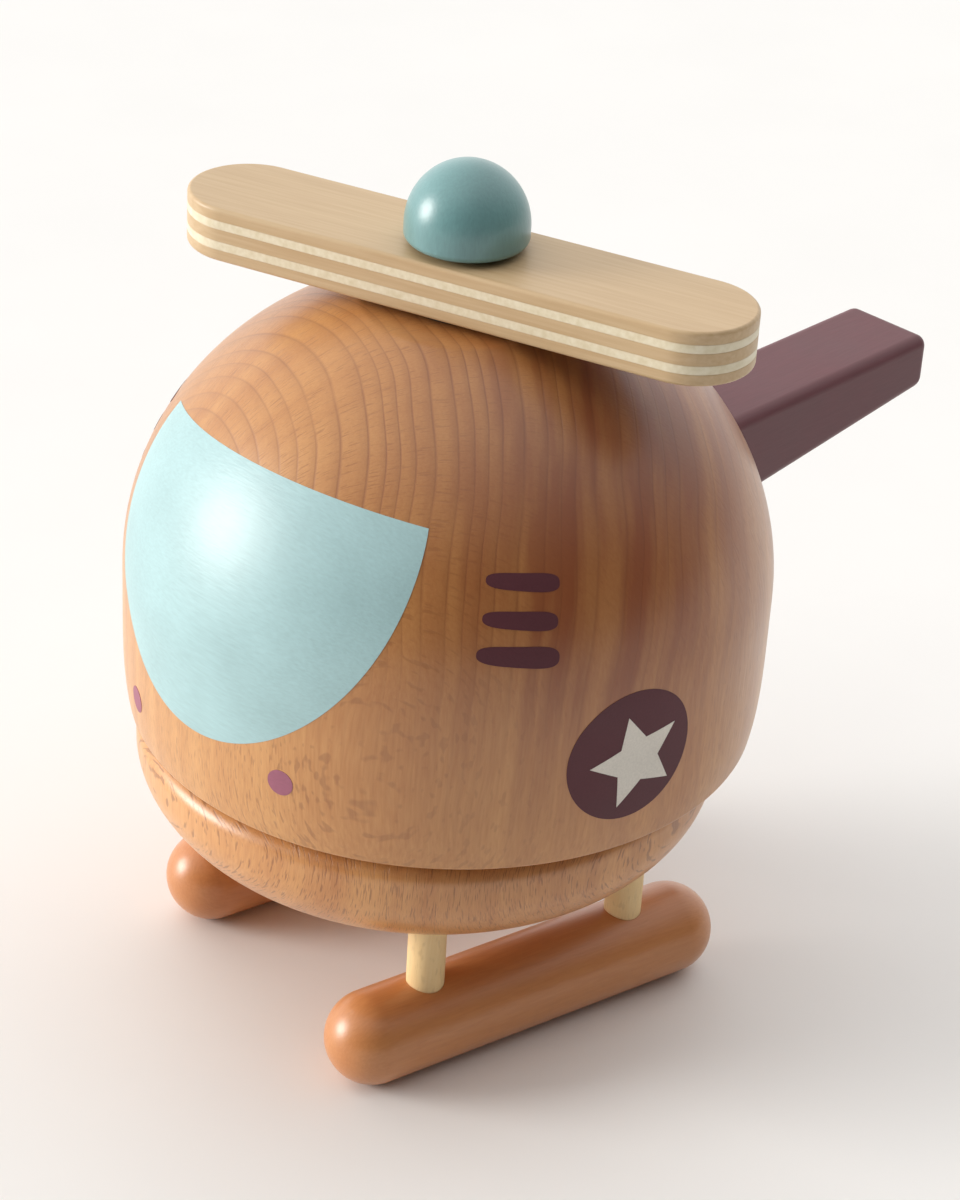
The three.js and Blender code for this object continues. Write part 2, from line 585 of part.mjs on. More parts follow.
// ---------- Movement: music cylinder ----------
function makePinCylinder() {
  const drum = rodAlongX(CYLINDER_R, ...CYLINDER_X, 24);
  const pins = [];
  for (let track = 0; track < COMB_TINES; track += 1) {
    for (let note = 0; note < 2; note += 1) {
      const x = LEDGE_X[0] + GAP + (track + 0.4) * TINE_PITCH;
      const angle = track * 1.31 + note * 2.9 + ((track * note) % 4) * 0.23;
      const pin = box([x - 0.2, x + 0.2], [-0.2, 0.2], [CYLINDER_R - 0.5, CYLINDER_R + PIN_HEIGHT]);
      pins.push(pin.rotateX(angle));
    }
  }
  return cut(join(drum, ...pins), rodAlongX(ARBOR_R + GAP, 10, 40, TINY_ROUND));
}
piece(cabin, "pin_cylinder", makePinCylinder(), BRASS).position.z = ARBOR_Z;
piece(cabin, "cylinder_arbor", rodAlongX(ARBOR_R, 10.9, 33, TINY_ROUND), STEEL).position.z = ARBOR_Z;

// A gear that lies in the YZ plane, between two places along X.
function gearAlongX(teeth, module, from, to, depth = 1) {
  return plate(gearShape(teeth, module, ARBOR_R + GAP, depth), from, to, 3).rotateY(Math.PI / 2);
}
const halfTooth = Math.PI / PINION_TEETH; // a gap of the pinion faces a tooth of the crown wheel
const [faceInner, faceOuter] = [CROWN_FACE[0] + RUN, CROWN_FACE[1] - RUN];
const crownPinion = (from, to) => gearAlongX(PINION_TEETH, CROWN_MODULE, from, to).rotateX(halfTooth);
piece(cabin, "cylinder_pinion", crownPinion(faceInner, faceOuter), STEEL).position.z = ARBOR_Z;

// ---------- Movement: governor ----------
piece(cabin, "governor_pinion", crownPinion(-faceOuter, -faceInner), STEEL).position.z = ARBOR_Z;
piece(cabin, "governor_arbor", rodAlongX(ARBOR_R, -21, -10.9, TINY_ROUND), STEEL).position.z = ARBOR_Z;
const wormWheel = gearAlongX(WORM_TEETH, WORM_MODULE, WORM_WHEEL_X - 0.8, WORM_WHEEL_X + 0.8, 0.6);
piece(cabin, "worm_wheel", wormWheel, BRASS).position.z = ARBOR_Z;

// The worm: a shaft whose radius swells along one helix.
function makeWorm() {
  const facets = 8;
  const lead = Math.PI * WORM_MODULE;
  const steps = 20;
  const low = ARBOR_Z - 2.5 * lead;
  const high = ARBOR_Z + 2.5 * lead;
  const rows = [];
  const row = (z, radiusAt) =>
    Array.from({ length: facets }, (_, i) => {
      const angle = (i / facets) * 2 * Math.PI;
      const radius = radiusAt(angle);
      return [radius * Math.cos(angle), radius * Math.sin(angle), z];
    });
  rows.push(row(PLATE_Z[0] + 0.6, () => WORM_SHAFT_R), row(low, () => WORM_SHAFT_R));
  for (let i = 0; i <= steps; i += 1) {
    const z = low + 0.1 + ((high - low - 0.2) * i) / steps;
    rows.push(row(z, (angle) => WORM_R - 0.35 + 0.2 * Math.cos(angle - (2 * Math.PI * z) / lead)));
  }
  rows.push(row(high, () => WORM_SHAFT_R), row(BRACKET_ARM_Z[1] - 0.7, () => WORM_SHAFT_R));
  const points = rows.flat();
  const index = [];
  for (let i = 0; i + 1 < rows.length; i += 1) {
    for (let k = 0; k < facets; k += 1) {
      const a = i * facets + k;
      const b = i * facets + ((k + 1) % facets);
      index.push(a, b, a + facets, b, b + facets, a + facets);
    }
  }
  const last = (rows.length - 1) * facets;
  for (let k = 1; k + 1 < facets; k += 1) {
    index.push(0, k + 1, k, last, last + k, last + k + 1);
  }
  const geometry = new THREE.BufferGeometry();
  geometry.setAttribute("position", new THREE.Float32BufferAttribute(points.flat(), 3));
  geometry.setIndex(index);
  geometry.computeVertexNormals();
  return geometry;
}
piece(cabin, "governor_worm", makeWorm(), STEEL).position.set(WORM_WHEEL_X, WORM_Y, 0);

// The air brake: a hub with two vanes, pressed on the worm's shaft.
function makeAirBrake() {
  const hub = rod(1.6, ...AIR_BRAKE_Z, TINY_ROUND);
  const vanes = [-2.7, 2.7].map((x) => box([x - 1.5, x + 1.5], [-0.3, 0.3], AIR_BRAKE_Z));
  return cut(join(hub, ...vanes), rod(PIVOT_R, 70, 80, TINY_ROUND));
}
piece(cabin, "air_brake", makeAirBrake(), BRASS).position.set(WORM_WHEEL_X, WORM_Y, 0);

// The bracket: a foot on the bedplate, a post and an arm over the worm's upper pivot.
function makeBracket() {
  const [x, y] = [WORM_WHEEL_X, WORM_Y];
  const postY = [y + 5.6, y + 7.2];
  const widthX = [x - 2.4, x + 2.4];
  const footX = [x - 3, BRACKET_SCREW[0] + 3];
  const foot = box(footX, [y + 4.4, y + 9.6], [PLATE_Z[1] + RUN, PLATE_Z[1] + 1.5]);
  const post = box(widthX, postY, [PLATE_Z[1] + 1, BRACKET_ARM_Z[1] - 0.2]);
  const arm = box(widthX, [y - 2.4, postY[1]], BRACKET_ARM_Z);
  const pivot = rod(PIVOT_R, 70, 80, TINY_ROUND).translate(x, y, 0);
  const hole = rod(1.3, 50, 60, TINY_ROUND).translate(...BRACKET_SCREW, 0);
  return cut(join(foot, post, arm), pivot, hole);
}
piece(cabin, "governor_bracket", makeBracket(), STEEL);
piece(cabin, "bracket_screw", panScrew(PLATE_Z[1] + 1.6, 3.8), STEEL).position.set(...BRACKET_SCREW, 0);

// ---------- Place the origin at the bottom centre of the toy's box ----------
const extent = new THREE.Box3().setFromObject(helicopter, true);
helicopter.position.set(0, -(extent.min.y + extent.max.y) / 2, 0);

export default helicopter;
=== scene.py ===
"""The looks of a turned wooden toy helicopter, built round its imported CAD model.

Profiles are in millimetres in the toy's own frame, and turned into metres when a mesh is made.
"""

import json
import math

import bmesh
import bpy
from mathutils import Matrix, Vector


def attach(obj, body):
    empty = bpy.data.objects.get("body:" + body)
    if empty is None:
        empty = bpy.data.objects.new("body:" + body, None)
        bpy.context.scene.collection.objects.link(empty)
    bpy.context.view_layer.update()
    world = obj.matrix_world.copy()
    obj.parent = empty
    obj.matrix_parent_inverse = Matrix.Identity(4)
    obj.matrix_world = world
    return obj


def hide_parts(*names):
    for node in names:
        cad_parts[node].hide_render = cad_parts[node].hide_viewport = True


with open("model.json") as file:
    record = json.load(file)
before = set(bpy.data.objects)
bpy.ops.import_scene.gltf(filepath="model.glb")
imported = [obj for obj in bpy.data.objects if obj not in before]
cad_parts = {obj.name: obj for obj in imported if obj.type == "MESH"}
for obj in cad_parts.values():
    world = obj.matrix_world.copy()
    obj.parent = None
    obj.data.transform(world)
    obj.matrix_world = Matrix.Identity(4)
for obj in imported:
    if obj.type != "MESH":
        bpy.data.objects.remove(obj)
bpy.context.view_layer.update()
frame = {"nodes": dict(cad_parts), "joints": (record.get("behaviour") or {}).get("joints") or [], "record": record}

MM = 0.001
JOINTS = {joint["name"]: joint for joint in frame["joints"]}
AXIS_X, AXIS_Y = (JOINTS["cabin_turn"]["pos_m"][i] / MM for i in (0, 1))
SPIN_AXIS = JOINTS["cylinder_spin"]["axis"]  # points to the cabin's own left
CABIN_YAW = math.atan2(SPIN_AXIS[1], SPIN_AXIS[0])
ROTOR_YAW = math.radians(28.8)

# ---------- The CAD model's driving dimensions ----------
CABIN_R = 50
CABIN_WAIST_Z = 72
CABIN_DOME = 46
CABIN_SKIRT = 44
CABIN_SKIRT_POWER = 5
CABIN_TOP_Z = 116
CABIN_BOTTOM_Z = 48.5
CABIN_RIM = 0.8  # rounding of the cabin's lower rim
CAVITY = [(30, 84), (38.5, 76), (38.5, 54.2), (45.5, 54.2), (45.5, 48.5)]
AXLE_HOLE = (4.3, 96.7)  # radius and lowest point

BASE_R = 46
BASE_WIDEST_Z = 41.2
BASE_DEPTH = 21.9
BASE_BOTTOM_Z = 20.5
BASE_TOP_Z = 46
BASE_RIM = 3
BASE_OFFSET = (-1.1, -1.6)  # of the bowl's outside from its bore
SPINDLE_BORE_R = 2.8
PLUG_RECESS = (9, 31)  # radius and highest point
NUT_RECESS = (6, 43.2)  # radius and lowest point
FOOT_BEVEL = (0.5, 0.3)  # width and height of the bevel round the bowl's flat foot

DOWEL_R = 3
SKID_R = 7.5
SKID_SPREAD = 24.8
SKID_HALF = 28.4
SKID_SHIFT = 1.5
SKID_FLAT = 4
LEG_REACH = 19
LEG_Z = (5.3, 35.7)
LEG_CLEARANCE = 0.05  # between a leg and its hole
LEG_HOLE_END = 0.2  # by which a hole is deeper than its leg

TAIL_WIDTH = 17
TAIL_TOP_Z = 80.2
TAIL_TIP_HEIGHT = 9.7
TAIL_TAPER = 0.12
TAIL_Y = (45.5, 109)
TAIL_EDGE = 2
TAIL_DOWEL_R = 4.3
TAIL_DOWEL_Y = (39.1, 61.3)
TAIL_DOWEL_Z = 72
TAIL_CLEARANCE = 0.12  # between the tail and its seat in the cabin

ROTOR_LENGTH = 91.8
ROTOR_WIDTH = 19.2
ROTOR_Z = (117, 125.5)
ROTOR_ARRIS = 0.6
ROTOR_HOLE_R = 4.5
PLIES = (118.9, 120.3, 122.2, 123.6)  # heights of the glue lines between the five plies
HUB_R = 9.3
HUB_Z = (126.3, 127.4, 128.8, 138.4)  # bottom, top of the lip, top of the wall, top
HUB_SOCKET_Z = 132.9

# ---------- Mesh helpers ----------
SHARP_ANGLE = 32  # between two faces, in degrees, from which their edge isn't smoothed


def arc(centre, radius, start, end, steps):
    """Points along a circular arc, with the angles in degrees."""
    angles = [math.radians(start + (end - start) * i / steps) for i in range(steps + 1)]
    return [(centre[0] + radius * math.cos(a), centre[1] + radius * math.sin(a)) for a in angles]


def lathe(profile, segments=256, x=AXIS_X, y=AXIS_Y):
    """Vertices and faces of an (r, z) profile turned about the vertical line through x, y."""
    rings, verts, faces = [], [], []
    for r, z in profile:
        count = segments if r > 0 else 1
        rings.append(range(len(verts), len(verts) + count))
        for i in range(count):
            angle = 2 * math.pi * i / segments
            verts.append((x + r * math.cos(angle), y + r * math.sin(angle), z))
    pairs = list(zip(rings, rings[1:]))
    if profile[0][0] > 0:
        pairs.append((rings[-1], rings[0]))
    for low, high in pairs:
        for i in range(segments):
            j = (i + 1) % segments
            corners = (low[i % len(low)], low[j % len(low)], high[j % len(high)], high[i % len(high)])
            face = list(dict.fromkeys(corners))
            if len(face) > 2:
                faces.append(face)
    return verts, faces


def walls(rings, count):
    """Faces between rings of count points each."""
    faces = []
    for k in range(rings - 1):
        for i in range(count):
            j = (i + 1) % count
            faces.append([k * count + i, k * count + j, (k + 1) * count + j, (k + 1) * count + i])
    return faces


def loft(sections):
    """Vertices and faces of a closed solid through rings of equally many points."""
    count = len(sections[0])
    verts = [point for section in sections for point in section]
    ends = [list(range(count))[::-1], list(range(len(verts) - count, len(verts)))]
    return verts, ends + walls(len(sections), count)


def moved(shape, matrix):
    verts, faces = shape
    return [tuple(matrix @ Vector(v)) for v in verts], faces


def add_object(name, shape):
    verts, faces = shape
    mesh = bpy.data.meshes.new(name)
    mesh.from_pydata([[c * MM for c in v] for v in verts], [], faces)
    work = bmesh.new()
    work.from_mesh(mesh)
    bmesh.ops.recalc_face_normals(work, faces=work.faces)
    work.to_mesh(mesh)
    work.free()
    obj = bpy.data.objects.new(name, mesh)
    bpy.context.scene.collection.objects.link(obj)
    return obj


def carve(obj, *cutters):
    """Cuts closed shapes out of obj."""
    for shape in cutters:
        tool = add_object("cutter", shape)
        boolean = obj.modifiers.new("carve", "BOOLEAN")
        boolean.operation = "DIFFERENCE"
        boolean.solver = "EXACT"
        boolean.object = tool
        graph = bpy.context.evaluated_depsgraph_get()
        result = bpy.data.meshes.new_from_object(obj.evaluated_get(graph))
        obj.modifiers.clear()
        obj.data = result
        bpy.data.objects.remove(tool)
    return obj


def finish_piece(obj, body, material, slot, *nodes):
    """Shades obj, gives it its material, parents it to its body's empty and hides the CAD nodes it stands for."""
    obj.data.name = obj.name
    obj.data.materials.clear()
    obj.data.materials.append(material)
    obj.data.shade_smooth()
    obj.data.set_sharp_from_angle(angle=math.radians(SHARP_ANGLE))
    normals = obj.modifiers.new("normals", "WEIGHTED_NORMAL")
    normals.keep_sharp = True
    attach(obj, body)
    if nodes:
        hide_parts(*nodes)
    return obj


# ---------- Materials ----------


def srgb(text):
    """Linear colour from a hexadecimal one."""
    parts = [int(text[i : i + 2], 16) / 255 for i in (0, 2, 4)]
    return (*[c / 12.92 if c <= 0.04045 else ((c + 0.055) / 1.055) ** 2.4 for c in parts], 1.0)


def shaded(text, factor):
    """Linear colour from a hexadecimal one, made lighter or darker by factor."""
    return (*[min(1.0, c * factor) for c in srgb(text)[:3]], 1.0)


class Finish:
    """One material and the nodes that feed its Principled shader."""

    def __init__(self, name, **sockets):
        self.material = bpy.data.materials.new(name)
        self.material.use_nodes = True
        self.tree = self.material.node_tree
        self.shader = self.tree.nodes["Principled BSDF"]
        for socket, value in sockets.items():
            self.feed(socket.replace("_", " "), value)

    def feed(self, socket, value, node=None):
        target = (node or self.shader).inputs[socket]
        if isinstance(value, bpy.types.NodeSocket):
            self.tree.links.new(value, target)
        else:
            target.default_value = value

    def add(self, kind, inputs, output=0, **settings):
        node = self.tree.nodes.new(kind)
        for key, value in settings.items():
            setattr(node, key, value)
        for socket, value in inputs.items():
            self.feed(socket, value, node)
        return node.outputs[output]

    def math(self, operation, a, b=0.0):
        return self.add("ShaderNodeMath", {0: a, 1: b}, operation=operation)

    def noise(self, vector, scale=1.0, detail=2.0):
        return self.add("ShaderNodeTexNoise", {"Vector": vector, "Scale": scale, "Detail": detail})

    def ramp(self, factor, *stops):
        """A value from 0 to 1 through (position, value) stops."""
        node = self.tree.nodes.new("ShaderNodeValToRGB")
        elements = node.color_ramp.elements
        while len(elements) < len(stops):
            elements.new(0.5)
        for element, (position, value) in zip(elements, stops):
            element.position = position
            element.color = (value, value, value, 1)
        self.feed(0, factor, node)
        return node.outputs[0]

    def mix(self, factor, a, b):
        return self.add("ShaderNodeMix", {0: factor, 6: a, 7: b}, 2, data_type="RGBA")

    def bump(self, height, distance):
        """Raises the surface by distance, in metres, where height is 1."""
        inputs = {"Height": height, "Distance": distance, "Strength": 1.0}
        self.feed("Normal", self.add("ShaderNodeBump", inputs))

    def place(self, turn=0.0, origin=(0, 0, 0)):
        """The piece's own coordinates in millimetres, from origin, turned back by an angle about Z."""
        coords = self.add("ShaderNodeTexCoord", {}, 3)
        scaled = self.add("ShaderNodeVectorMath", {0: coords, "Scale": 1 / MM}, operation="SCALE")
        shifted = self.add("ShaderNodeVectorMath", {0: scaled, 1: origin}, operation="SUBTRACT")
        spin = {"Vector": shifted, "Rotation": (0, 0, -turn)}
        return self.add("ShaderNodeMapping", spin, vector_type="POINT")

    def stretched(self, vector, scale):
        """A vector with each axis scaled by its own number."""
        return self.add("ShaderNodeVectorMath", {0: vector, 1: scale}, operation="MULTIPLY")

    def xyz(self, x, y, z):
        return self.add("ShaderNodeCombineXYZ", {0: x, 1: y, 2: z})


# Noise scales per millimetre: away from the pith, round it and along the grain.
RAY_SCALE = (0.3, 3.4, 0.45)
PORE_SCALE = (2.2, 3.4, 0.2)
TONE_SCALE = (0.0084, 0.12, 0.0015)
STREAK_SCALE = (0.3, 0.05, 0.008)

RING_PITCH = 2.6
RING_UNEVENNESS = 2.0  # in rings
# How dark a growth ring is, from its inner edge at 0 to its outer one at 1.
LATE_WOOD = ((0.0, 0.5), (0.06, 0.0), (0.5, 0.08), (0.88, 0.45), (0.95, 1.0), (1.0, 0.5))
RING_STRENGTH = 0.6
FLECK_STRENGTH = 0.42
GRAIN_WARP = 4.0  # how far the growth rings wander from true circles
GRAIN_DEPTH = 0.00004  # of the open grain, in metres
# Painted shade: the timber is painted darker and redder towards the side away from the window.
PAINTED_SHADE_SIDE = (0.586, 0.81, 0)  # the direction that the painted shade lies towards, away from the window
PAINTED_SHADE_COLOUR = "864220"
CROWN_TONE_AND_SHADE = "a4682a"  # darker colour high on the cabin: partly the timber's tone, partly painted shade under the rotor
FLECK_COLOUR = "70371a"  # of late wood and of rays


def tree_space(finish, place, pith, grain, warp):
    """Coordinates in a block's tree: away from the pith, round it and along the grain."""
    wobble = finish.noise(place, 0.035, 1.0)
    shift = finish.math("MULTIPLY", finish.math("SUBTRACT", wobble, 0.5), warp)
    split = finish.tree.nodes.new("ShaderNodeSeparateXYZ")
    finish.feed(0, place, split)
    across = [split.outputs[i] for i in range(3) if i != grain]
    u = finish.math("ADD", finish.math("SUBTRACT", across[0], pith[0]), shift)
    v = finish.math("ADD", finish.math("SUBTRACT", across[1], pith[1]), shift)
    squares = finish.math("ADD", finish.math("MULTIPLY", u, u), finish.math("MULTIPLY", v, v))
    away = finish.math("SQRT", squares)
    turn = finish.math("ARCTAN2", u, v)
    around = finish.math("MULTIPLY", turn, math.hypot(*pith))
    return away, around, split.outputs[grain]


PLAIN_TIMBER = {"rings": 1.0, "flecks": 1.0, "dark_side": 0.0, "crown": 0.0, "fade": 0.0}
PLAIN_TIMBER.update({"rough": 0.38, "coat": 0.48})


def wood(name, light, dark, pith, grain=2, **look):
    """Lacquered timber with growth rings, rays that show as lines or flecks, and fine pores.

    look may set the strength of its rings, its flecks, the shade painted on its side away from the window and
    its darker crown, which is partly painted shade, how far the flecks fade in that painted shade, and its
    roughness and coat.
    """
    look = {**PLAIN_TIMBER, **look}
    f = Finish(name, Coat_Weight=look["coat"], Coat_Roughness=0.3)
    place = f.place(0.0, (AXIS_X, AXIS_Y, 0))
    away, around, along = tree_space(f, place, pith, grain, GRAIN_WARP)

    def scaled(u, v, w):
        factors = zip((away, around, along), (u, v, w))
        return f.xyz(*[f.math("MULTIPLY", value, factor) for value, factor in factors])

    uneven = f.noise(f.xyz(f.math("MULTIPLY", away, 0.11), 0.0, 0.0), 1.0, 0.0)
    drift = f.math("MULTIPLY", uneven, RING_UNEVENNESS)
    count = f.math("ADD", f.math("DIVIDE", away, RING_PITCH), drift)
    late = f.ramp(f.math("FRACT", count), *LATE_WOOD)
    # The rings show in patches, and most on the dome, where the turned surface cuts across them.
    patchy = f.ramp(f.noise(place, 0.05, 2.0), (0.3, 0.25), (0.7, 1.0))
    upper = f.ramp(f.math("DIVIDE", along, CABIN_TOP_Z), (0.58, 0.15), (0.82, 1.0))
    shown = f.math("MULTIPLY", upper, RING_STRENGTH * look["rings"])
    ring = f.math("MULTIPLY", f.math("MULTIPLY", late, patchy), shown)

    ray = f.ramp(f.noise(scaled(*RAY_SCALE), 1.0, 1.0), (0.57, 0.0), (0.67, 1.0))
    pore = f.noise(scaled(*PORE_SCALE), 1.0, 3.0)
    tone = f.noise(scaled(*TONE_SCALE), 1.0, 3.0)
    dull = f.ramp(tone, (0.3, 0.0), (0.7, 0.6))
    shade = f.math("ADD", dull, f.math("MULTIPLY", f.math("SUBTRACT", pore, 0.5), 0.9))
    base = f.mix(shade, srgb(light), srgb(dark))
    # Darker high on the cabin: partly the timber's tone, partly painted shade under the rotor.
    base = f.mix(f.math("MULTIPLY", upper, look["crown"]), base, srgb(CROWN_TONE_AND_SHADE))
    # Painted shade: darker and redder towards the side away from the window, most high up, broken into streaks,
    # with the flecks fading in it.
    towards = f.add("ShaderNodeVectorMath", {0: place, 1: PAINTED_SHADE_SIDE}, 1, operation="DOT_PRODUCT")
    share = f.math("ADD", f.math("DIVIDE", towards, 2 * CABIN_R), 0.5)
    painted_shade_mask = f.ramp(share, (0.3, 0.0), (0.7, 0.95), (0.88, 0.8), (1.0, 0.45))
    streaks = f.ramp(f.noise(scaled(*STREAK_SCALE), 1.0, 4.0), (0.35, 0.5), (0.6, 1.0))
    high = f.ramp(f.math("DIVIDE", along, CABIN_TOP_Z), (0.45, 0.45), (0.68, 1.0))
    fade = f.math("SUBTRACT", 1.0, f.math("MULTIPLY", painted_shade_mask, look["fade"]))
    painted_shade_mask = f.math("MULTIPLY", f.math("MULTIPLY", painted_shade_mask, high), streaks)
    ray = f.math("MULTIPLY", f.math("MULTIPLY", ray, FLECK_STRENGTH * look["flecks"]), fade)
    base = f.mix(f.math("MULTIPLY", painted_shade_mask, look["dark_side"]), base, srgb(PAINTED_SHADE_COLOUR))
    lines = f.math("MAXIMUM", ring, ray)
    f.feed("Base Color", f.mix(lines, base, srgb(FLECK_COLOUR)))
    f.feed("Roughness", f.math("ADD", f.math("MULTIPLY", pore, 0.14), look["rough"] - 0.07))
    f.bump(f.math("SUBTRACT", f.math("MULTIPLY", pore, 0.5), lines), GRAIN_DEPTH)
    return f.material


def painted(name, colour, rough=0.38, grain_scale=(0.35, 3.0, 3.0), coat=0.15):
    """Brushed satin paint through which the wood's grain still shows a little."""
    f = Finish(name, Coat_Weight=coat, Coat_Roughness=0.3)
    place = f.place(CABIN_YAW, (AXIS_X, AXIS_Y, 0))
    streak = f.noise(f.stretched(place, grain_scale), 1.0, 3.0)
    cloud = f.noise(place, 0.08, 2.0)
    tint = f.math("ADD", f.math("MULTIPLY", streak, 0.5), f.math("MULTIPLY", cloud, 0.5))
    tint = f.ramp(tint, (0.35, 0.0), (0.65, 1.0))
    f.feed("Base Color", f.mix(tint, shaded(colour, 0.9), shaded(colour, 1.06)))
    f.feed("Roughness", f.math("ADD", f.math("MULTIPLY", cloud, 0.12), rough - 0.06))
    f.bump(streak, 0.00003)
    return f.material


PLY_BLUR = 0.006  # of the edge between two plies, as a share of the blade's thickness
GLUE_BLUR = 0.018  # the same for a glue line


def plywood(name):
    """Five plies: the odd ones run along the blade and the even ones across it."""
    f = Finish(name, Coat_Weight=0.12, Coat_Roughness=0.3)
    place = f.place(ROTOR_YAW, (AXIS_X, AXIS_Y, 0))
    split = f.tree.nodes.new("ShaderNodeSeparateXYZ")
    f.feed(0, place, split)
    low, high = ROTOR_Z
    level = f.math("DIVIDE", f.math("SUBTRACT", split.outputs[2], low), high - low)
    stops, glue = [(0.0, 0.0)], [(0.0, 0.0)]
    for i, z in enumerate(PLIES):
        share = (z - low) / (high - low)
        stops += [(share - PLY_BLUR, i % 2), (share + PLY_BLUR, (i + 1) % 2)]
        glue += [(share - GLUE_BLUR, 0.0), (share, 0.3), (share + GLUE_BLUR, 0.0)]
    across = f.ramp(level, *stops)
    fibre = f.noise(f.stretched(place, (0.06, 1.6, 1.6)), 1.0, 3.0)
    end_grain = f.noise(f.stretched(place, (1.1, 0.3, 0.9)), 1.0, 3.0)
    face = f.mix(f.ramp(fibre, (0.3, 0.0), (0.7, 1.0)), srgb("c2a37a"), srgb("ccb089"))
    core = f.mix(f.ramp(end_grain, (0.3, 0.0), (0.7, 1.0)), srgb("ddcfae"), srgb("ebe0c6"))
    band = f.mix(across, face, core)
    f.feed("Base Color", f.mix(f.ramp(level, *glue), band, srgb("a87c48")))
    f.feed("Roughness", f.math("ADD", f.math("MULTIPLY", fibre, 0.15), 0.36))
    f.bump(fibre, 0.00003)
    return f.material


def metal(name, colour, rough):
    """Metal brushed along X and a little stained."""
    f = Finish(name, Metallic=1.0)
    place = f.place()
    brushed = f.noise(f.stretched(place, (0.4, 3.0, 3.0)), 1.0, 3.0)
    stain = f.ramp(f.noise(place, 0.3, 2.0), (0.35, 0.0), (0.65, 1.0))
    f.feed("Base Color", f.mix(stain, shaded(colour, 0.72), srgb(colour)))
    f.feed("Roughness", f.math("ADD", f.math("MULTIPLY", brushed, 0.25), rough))
    f.bump(brushed, 0.00002)
    return f.material


def plain(name, colour, rough, scale, depth):
    """A matt material with an even fine texture, for moulded nylon and pressed felt."""
    f = Finish(name)
    place = f.place()
    speckle = f.noise(place, scale, 4.0)
    f.feed("Base Color", f.mix(speckle, shaded(colour, 0.75), srgb(colour)))
    f.feed("Roughness", f.math("ADD", f.math("MULTIPLY", speckle, 0.1), rough))
    f.bump(speckle, depth)
    return f.material


MATERIALS = {
    "beech_lacquered": wood(
        "beech_cabin", "dda567", "b4733d", (-10.8, -78.1), flecks=0.8, dark_side=1.0, crown=0.5, fade=0.7
    ),
    "beech_dark": wood("beech_skids", "cf8c55", "bd743f", (18, -60), grain=1, rings=0.2, flecks=0.1),
    "birch": wood("birch_dowel", "f8dba6", "ecc88c", (60, 40), rings=0.2, flecks=0.3, rough=0.5, coat=0.05),
    "plywood": plywood("rotor_plywood"),
    "teal_paint": painted("teal_paint", "a4c4c6", 0.42),
    "purple_paint": painted("purple_paint", "66353c", 0.5, (2.0, 0.2, 2.0), 0.05),
    "steel": metal("bright_steel", "b9bbbd", 0.18),
    "blued_steel": metal("blued_steel", "3c4a66", 0.2),
    "brass": metal("brass", "c8a14c", 0.2),
    "zinc": metal("cast_zinc", "9b9da0", 0.4),
    "nylon": plain("nylon", "e6e3d8", 0.42, 0.8, 0.00002),
    "felt": plain("felt", "413c38", 0.85, 3.0, 0.0001),
}
BASE_WOOD = wood("beech_base", "dba064", "b06a37", (73, -53), rings=0.4, flecks=1.2, dark_side=0.6)
HUB_PAINT = painted("hub_paint", "6f999a", 0.32, (3.0, 3.0, 0.6), 0.3)
MARK_PAINT = painted("mark_paint", "55222b", 0.62, coat=0.0)
DOT_PAINT = painted("dot_paint", "9c5c70", 0.5, coat=0.0)
STAR_PAINT = painted("star_paint", "e2dbd0", 0.5, coat=0.0)

SLOT_OF = {part["node"]: part["material_slot"] for part in frame["record"]["subparts"]}
for node_name, node in frame["nodes"].items():
    node.data.materials.clear()
    node.data.materials.append(MATERIALS[SLOT_OF[node_name]])

# ---------- The cabin ----------


def cabin_radius(z):
    below = CABIN_WAIST_Z - z
    if below > 0:
        return CABIN_R * math.sqrt(1 - (below / CABIN_SKIRT) ** CABIN_SKIRT_POWER)
    return CABIN_R * math.sqrt(1 - (below / CABIN_DOME) ** 2)


def cabin_outline():
    """The cabin's outside from its lower rim to the edge of its flat top."""
    rim_z = CABIN_BOTTOM_Z + CABIN_RIM
    rim = arc((cabin_radius(rim_z) - CABIN_RIM, rim_z), CABIN_RIM, -90, 0, 5)
    skirt_steps = 22
    skirt = [rim_z + (CABIN_WAIST_Z - rim_z) * i / skirt_steps for i in range(1, skirt_steps)]
    top_angle = math.asin((CABIN_TOP_Z - CABIN_WAIST_Z) / CABIN_DOME)
    dome_steps = 64
    angles = [top_angle * i / dome_steps for i in range(dome_steps + 1)]
    dome = [CABIN_WAIST_Z + CABIN_DOME * math.sin(angle) for angle in angles]
    return rim + [(cabin_radius(z), z) for z in skirt + dome]


def rounded_rectangle(half_width, low, high, radius):
    """Points round a rectangle in X and Z with rounded corners."""
    corners = [(half_width, high, 0), (-half_width, high, 90)]
    corners += [(-half_width, low, 180), (half_width, low, 270)]
    points = []
    for x, z, start in corners:
        centre = (x - math.copysign(radius, x), z - (radius if z == high else -radius))
        points += arc(centre, radius, start, start + 90, 8)
    return points


def tail_shape(grow=0.0):
    """The tail bar, its edges rounded, with the end that is let into the cabin left square."""
    seat, tip = TAIL_Y[0] - grow, TAIL_Y[1] + grow
    edge = TAIL_EDGE
    stations = [(seat + (tip - edge - seat) * i / 24, 0.0) for i in range(24)]
    stations += [(tip - edge + edge * math.sin(a), edge * (1 - math.cos(a))) for a in quarter_turn(8)]
    sections = []
    for y, inset in stations:
        low = TAIL_TOP_Z - TAIL_TIP_HEIGHT - TAIL_TAPER * (TAIL_Y[1] - y) - grow
        half_width = TAIL_WIDTH / 2 + grow - inset
        corner = max(edge - inset, 0.05)
        ring = rounded_rectangle(half_width, low + inset, TAIL_TOP_Z + grow - inset, corner)
        sections.append([(x, y, z) for x, z in ring])
    return loft(sections)


def quarter_turn(steps):
    return [math.pi / 2 * i / steps for i in range(steps + 1)]


